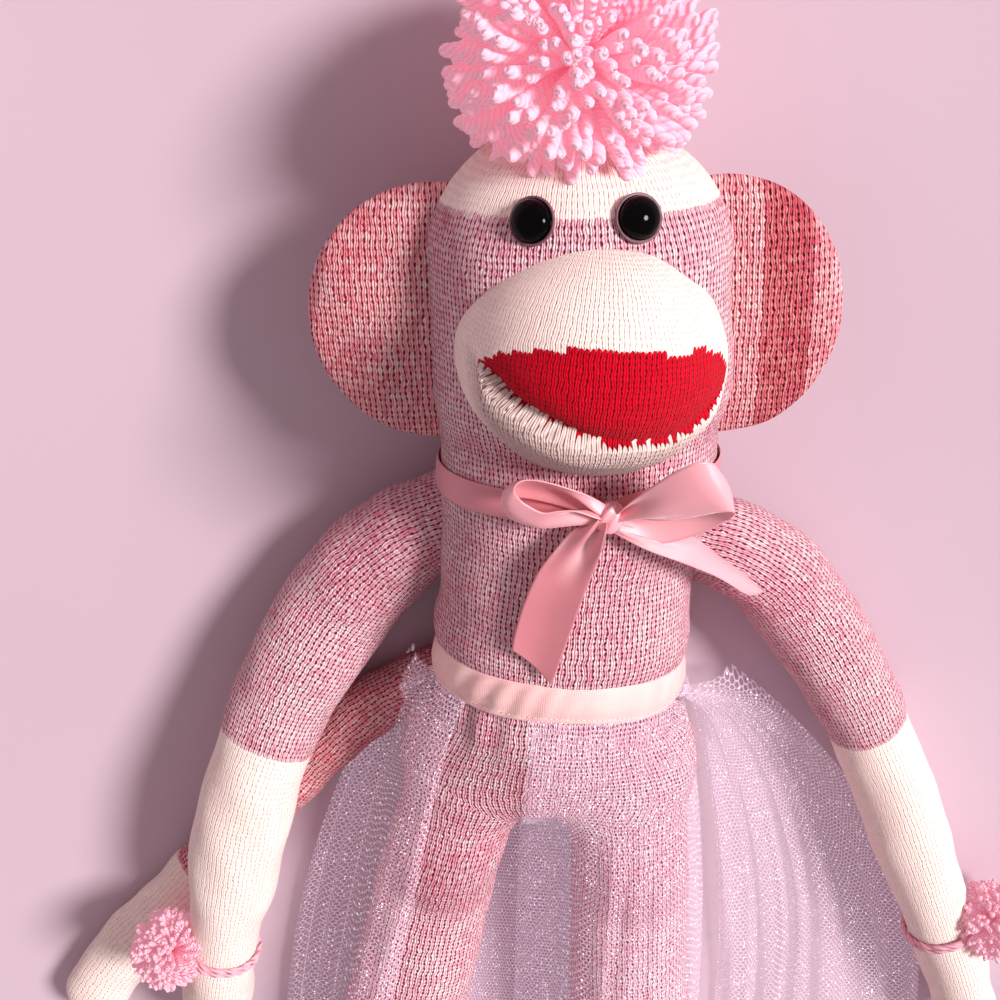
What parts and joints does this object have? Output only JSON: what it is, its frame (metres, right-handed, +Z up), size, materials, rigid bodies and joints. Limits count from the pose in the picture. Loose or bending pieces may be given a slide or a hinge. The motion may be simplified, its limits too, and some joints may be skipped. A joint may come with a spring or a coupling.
{
  "type": "sock monkey doll",
  "caption": "Stuffed sock monkey doll lying on its back, with a round muzzle, large ears, long limbs and tail, a crown pompom, a neck bow and a tulle skirt.",
  "frame": {"origin": "on the flat of the torso's back, where the doll lies on the floor, between the shoulders", "axes": "+Y towards the crown of the head, +X towards the right of someone looking down on the face, +Z up out of the chest"},
  "size_m": [0.4202, 0.5657, 0.116],
  "materials": {
    "knit_pink": "marled knit",
    "knit_coral": "marled knit",
    "knit_cream": "knit",
    "stuffing": "fibre fill",
    "satin": "satin",
    "tape": "folded tape",
    "tulle": "glitter net",
    "yarn": "fluffy yarn",
    "bead": "gloss",
    "disc": "matte"
  },
  "bodies": {
    "torso": {"torso_skin": "knit_pink", "torso_stuffing": "stuffing", "neck_ribbon": "satin", "bow_knot": "satin", "bow_loop_left": "satin", "bow_loop_right": "satin", "bow_tail_left": "satin", "bow_tail_right": "satin", "waistband": "tape", "tulle_front_left": "tulle", "tulle_front_right": "tulle", "tulle_side_right": "tulle", "tulle_back": "tulle"},
    "head": {"head_skin": "knit_pink", "head_stuffing": "stuffing", "muzzle_skin": "knit_cream", "muzzle_stuffing": "stuffing", "left_ear_skin": "knit_coral", "left_ear_stuffing": "stuffing", "right_ear_skin": "knit_coral", "right_ear_stuffing": "stuffing", "left_eye": "bead", "left_eye_washer": "disc", "right_eye": "bead", "right_eye_washer": "disc", "crown_pompom": "yarn"},
    "left_arm": {"left_arm_skin": "knit_pink", "left_arm_stuffing": "stuffing"},
    "right_arm": {"right_arm_skin": "knit_pink", "right_arm_stuffing": "stuffing"},
    "left_leg": {"left_leg_skin": "knit_pink", "left_leg_stuffing": "stuffing"},
    "right_leg": {"right_leg_skin": "knit_pink", "right_leg_stuffing": "stuffing"},
    "tail": {"tail_skin": "knit_coral", "tail_stuffing": "stuffing"},
    "left_wrist_band": {"left_wrist_tie": "yarn", "left_wrist_pompom": "yarn"},
    "right_wrist_band": {"right_wrist_tie": "yarn", "right_wrist_pompom": "yarn"}
  },
  "joints": [
    {"name": "head_turn", "type": "hinge", "parent": "torso", "child": "head", "pos_m": [0, 0.045, 0.0402], "axis": [-0.0958, 0.9954, 0], "range_deg": [-25, 25], "deforming": ["bow_loop_left", "bow_loop_right"]},
    {"name": "left_shoulder", "type": "hinge", "parent": "torso", "child": "left_arm", "pos_m": [-0.04327, 0.00398, 0.026], "axis": [-1, 0, 0], "range_deg": [0, 90]},
    {"name": "right_shoulder", "type": "hinge", "parent": "torso", "child": "right_arm", "pos_m": [0.04327, 0.00398, 0.026], "axis": [-1, 0, 0], "range_deg": [0, 90], "deforming": ["bow_tail_right"]},
    {"name": "left_hip", "type": "hinge", "parent": "torso", "child": "left_leg", "pos_m": [-0.034, -0.11273, 0.038], "axis": [-1, 0, 0], "range_deg": [0, 90], "deforming": ["tulle_front_left"]},
    {"name": "right_hip", "type": "hinge", "parent": "torso", "child": "right_leg", "pos_m": [0.034, -0.11273, 0.038], "axis": [-1, 0, 0], "range_deg": [0, 90], "deforming": ["tulle_front_right", "tulle_side_right", "tulle_back"]},
    {"name": "tail_swing", "type": "hinge", "parent": "torso", "child": "tail", "pos_m": [-0.0371, -0.0663, 0.0135], "axis": [0, 0, 1], "range_deg": [-4, 3]},
    {"name": "left_wrist_band", "type": "hinge", "parent": "left_arm", "child": "left_wrist_band", "pos_m": [-0.1307, -0.20059, 0.03567], "axis": [0.1418, 0.9897, 0.0206], "range_deg": [0, 90]},
    {"name": "right_wrist_band", "type": "hinge", "parent": "right_arm", "child": "right_wrist_band", "pos_m": [0.17635, -0.17527, 0.01796], "axis": [0.4365, -0.8995, -0.0207], "range_deg": [0, 90]}
  ]
}
